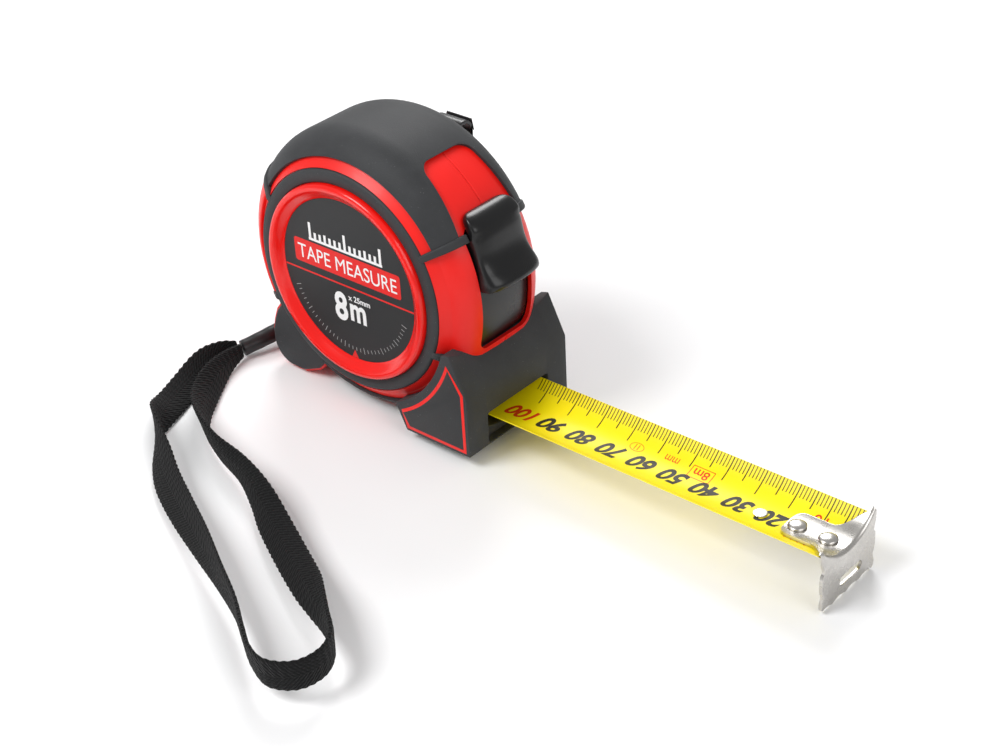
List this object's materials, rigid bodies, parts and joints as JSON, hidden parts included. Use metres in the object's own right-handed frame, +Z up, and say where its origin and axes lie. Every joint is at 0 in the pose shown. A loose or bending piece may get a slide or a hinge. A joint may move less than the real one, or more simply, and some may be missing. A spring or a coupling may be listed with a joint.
{
  "type": "tape measure",
  "caption": "Pocket tape measure: round two-shell case with rubber grip, thumb lock, curved steel blade pulled out about a hand's width, riveted end hook, belt clip and wrist strap.",
  "frame": {"origin": "on the case's flat base, straight below the reel's axle, in the middle of the blade's width", "axes": "+X the way the blade leaves the mouth, +Y towards the belt clip side, +Z up along the case's height"},
  "size_m": [0.1948, 0.1472, 0.0879],
  "materials": {
    "red_abs": "bright red injection-moulded shell, satin on the crown, polished in the dished ring",
    "soft_grip": "matte charcoal soft overmould",
    "gloss_black": "glossy black",
    "label_print": "satin black printed label",
    "blade_yellow": "yellow lacquered spring steel",
    "plated_steel": "nickel-plated steel",
    "zinc_screw": "zinc-plated steel",
    "black_steel": "black-coated spring steel",
    "reel_plastic": "grey engineering plastic",
    "spring_steel": "blued spring steel",
    "strap_web": "black woven nylon web"
  },
  "bodies": {
    "case": {"case_left": "red_abs", "case_right": "red_abs", "grip_left": "soft_grip", "grip_right": "soft_grip", "nose_panel_left": "soft_grip", "nose_panel_right": "soft_grip", "label_left": "label_print", "label_right": "label_print", "mouth_lip": "soft_grip", "axle_post": "reel_plastic", "reel_washer_left": "reel_plastic", "reel_washer_right": "reel_plastic", "case_screw_nose": "zinc_screw", "case_screw_heel": "zinc_screw", "case_screw_front": "zinc_screw", "case_screw_rear": "zinc_screw", "belt_clip": "black_steel", "clip_screw": "zinc_screw", "strap_pin": "zinc_screw", "strap_sleeve": "gloss_black", "wrist_strap": "strap_web"},
    "lock": {"lock_slider": "gloss_black"},
    "reel": {"reel_drum": "reel_plastic", "reel_cover": "reel_plastic", "power_spring": "spring_steel", "blade_coil": "blade_yellow"},
    "blade_run": {"blade": "blade_yellow", "hook_backing": "plated_steel", "hook_rivet_front": "plated_steel", "hook_rivet_middle": "plated_steel", "hook_rivet_rear": "plated_steel"},
    "end_hook": {"hook": "plated_steel"}
  },
  "joints": [
    {"name": "thumb_lock", "type": "hinge", "parent": "case", "child": "lock", "pos_m": [0, 0, 0.0395], "axis": [0, 1, 0], "range_deg": [0, 11]},
    {"name": "reel_turn", "type": "hinge", "parent": "case", "child": "reel", "pos_m": [0, 0, 0.0395], "axis": [0, 1, 0], "range_deg": [0, 190]},
    {"name": "blade_slide", "type": "slide", "parent": "case", "child": "blade_run", "axis": [1, 0, 0], "range_m": [-0.1015, 0], "deforming": ["blade"]},
    {"name": "hook_play", "type": "slide", "parent": "blade_run", "child": "end_hook", "axis": [1, 0, 0], "range_m": [-0.0008, 0]}
  ],
  "couplings": [
    {"joint": "reel_turn", "follows": "blade_slide", "rad_per_m": -31.95}
  ]
}
